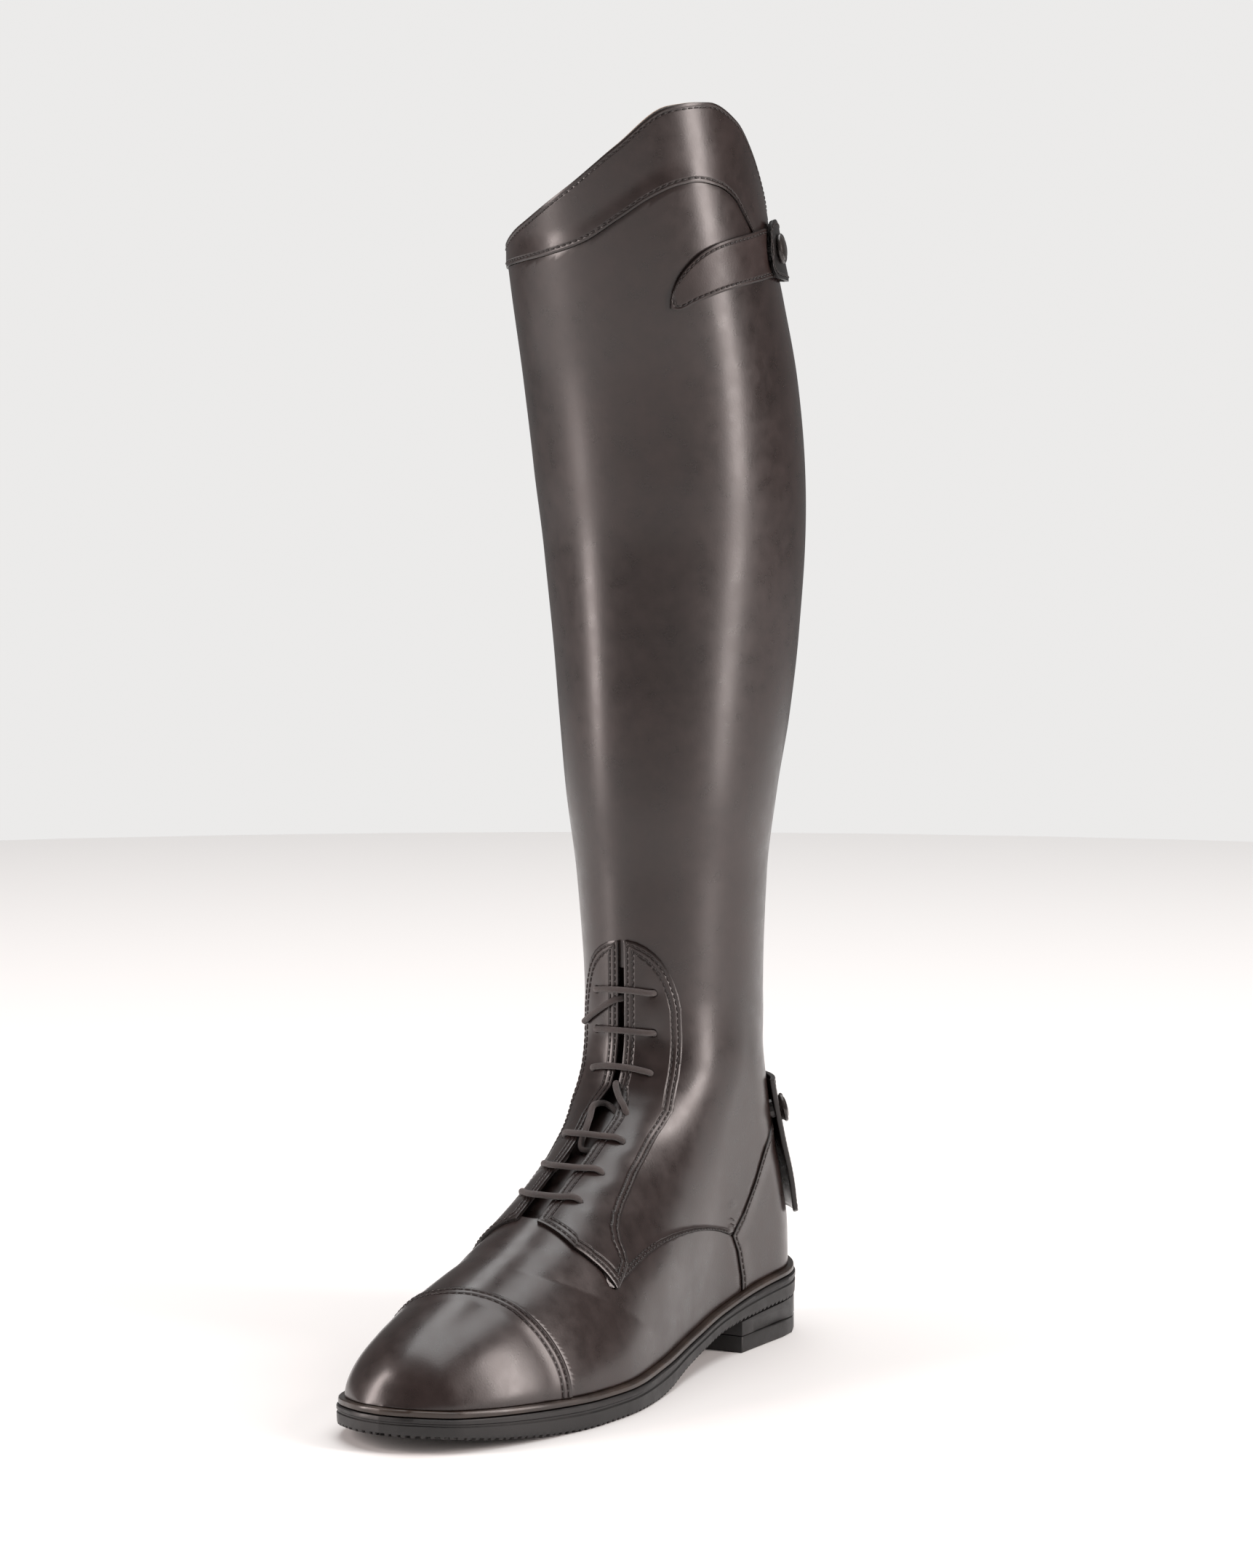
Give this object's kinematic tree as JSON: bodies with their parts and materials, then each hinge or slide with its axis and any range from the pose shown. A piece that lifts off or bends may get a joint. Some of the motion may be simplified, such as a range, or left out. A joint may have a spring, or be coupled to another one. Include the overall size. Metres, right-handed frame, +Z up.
{
  "type": "equestrian field boot",
  "caption": "Tall brown leather riding boot for the left foot, with a laced instep, a Spanish-cut top, a rear zip, a snap strap at the top and a black rubber sole.",
  "frame": {"origin": "on the floor, under the middle of the boot's outline", "axes": "+Z up, toe toward -Y, outer side of the leg toward +X"},
  "size_m": [0.1148, 0.294, 0.5157],
  "materials": {
    "calf_leather": "smooth dark brown calf, satin",
    "tab_leather": "smooth dark brown calf, satin",
    "black_leather": "black, satin",
    "lining_leather": "unfinished pigskin lining, matte",
    "footbed_leather": "matte",
    "welt_leather": "dyed edge",
    "elastic_fabric": "ribbed elastic",
    "zip_tape": "woven tape",
    "lace_cord": "round elastic cord",
    "zip_metal": "dark bronze",
    "snap_metal": "dark enamel on brass",
    "fibre_board": "pressed fibre",
    "cork": "granulated cork",
    "spring_steel": "as rolled",
    "nail_steel": "drawn wire",
    "sole_rubber": "moulded black rubber, satin"
  },
  "bodies": {
    "boot": {"top_panel": "calf_leather", "shaft_leather": "calf_leather", "elastic_panel_outer": "elastic_fabric", "elastic_panel_inner": "elastic_fabric", "heel_quarter": "calf_leather", "vamp": "calf_leather", "toe_cap": "calf_leather", "heel_counter": "fibre_board", "toe_puff": "fibre_board", "shaft_lining": "lining_leather", "foot_lining": "lining_leather", "tongue": "calf_leather", "facing_outer": "calf_leather", "facing_inner": "calf_leather", "lace": "lace_cord", "zip_tape_outer": "zip_tape", "zip_tape_inner": "zip_tape", "zip_teeth_outer": "zip_metal", "zip_teeth_inner": "zip_metal", "zip_top_stop": "zip_metal", "zip_bottom_stop": "zip_metal", "closure_tab": "tab_leather", "strap_anchor": "black_leather", "guard_anchor": "calf_leather", "guard_snap_stud": "snap_metal", "welt": "welt_leather", "cork_filler": "cork", "shank": "spring_steel", "outsole": "sole_rubber", "heel_block": "sole_rubber", "heel_top_piece": "sole_rubber", "heel_nail_1": "nail_steel", "heel_nail_2": "nail_steel", "heel_nail_3": "nail_steel", "heel_nail_4": "nail_steel", "insole_board": "fibre_board", "footbed": "footbed_leather"},
    "zip_slider": {"zip_slider": "zip_metal"},
    "zip_puller": {"zip_puller": "zip_metal"},
    "snap_strap": {"closure_strap": "black_leather", "strap_snap_cap": "snap_metal"},
    "heel_guard": {"zip_guard": "calf_leather", "guard_snap_cap": "snap_metal"}
  },
  "joints": [
    {"name": "slider_travel", "type": "hinge", "parent": "boot", "child": "zip_slider", "pos_m": [-0.00002, -0.1418, 0.328], "axis": [0.9998, 0, 0.019], "range_deg": [-32, 0]},
    {"name": "puller_swing", "type": "hinge", "parent": "zip_slider", "child": "zip_puller", "pos_m": [-0.00192, 0.12542, 0.42924], "axis": [1, 0, 0], "range_deg": [0, 110]},
    {"name": "strap_open", "type": "hinge", "parent": "boot", "child": "snap_strap", "pos_m": [-0.04783, 0.08944, 0.4565], "axis": [0.1634, -0.1281, 0.9782], "range_deg": [0, 95]},
    {"name": "guard_open", "type": "hinge", "parent": "boot", "child": "heel_guard", "pos_m": [-0.02673, 0.11346, 0.082], "axis": [-0.0116, -0.3655, 0.9307], "range_deg": [0, 100]}
  ]
}
